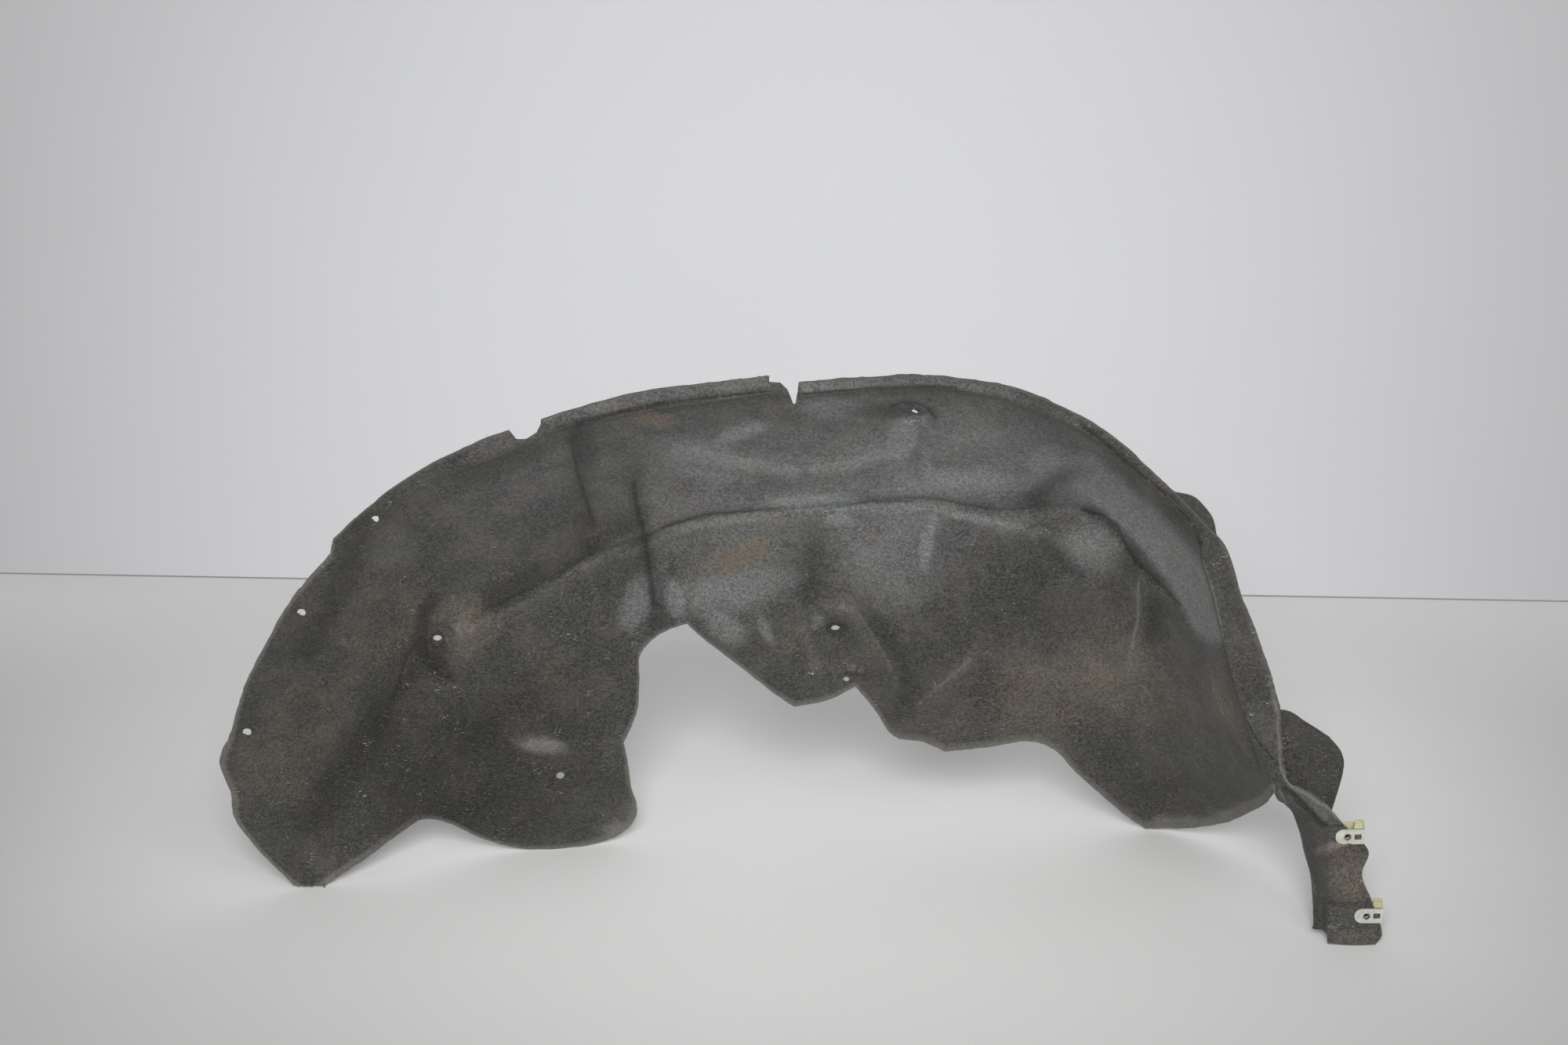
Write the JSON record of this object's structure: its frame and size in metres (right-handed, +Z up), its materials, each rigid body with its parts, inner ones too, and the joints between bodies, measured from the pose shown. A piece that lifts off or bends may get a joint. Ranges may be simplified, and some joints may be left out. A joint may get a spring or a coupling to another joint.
{
  "type": "wheel arch liner",
  "caption": "Moulded felt wheel arch liner: a domed half arch with a folded lip, creased inner wall with cut-outs, recessed screw seats and a tail that carries two plastic clips.",
  "frame": {"origin": "on the surface that the feet stand on, under the middle of the outline", "axes": "+X along the arch from the front foot to the tail, +Y from the wheel side to the inboard wall, +Z up"},
  "size_m": [1.0114, 0.2514, 0.496],
  "materials": {
    "felt": "matt needle felt, dusty and worn",
    "clip_plastic": "satin cream plastic"
  },
  "bodies": {
    "root": {"liner_shell": "felt", "clip_upper": "clip_plastic", "clip_lower": "clip_plastic"}
  },
  "joints": []
}
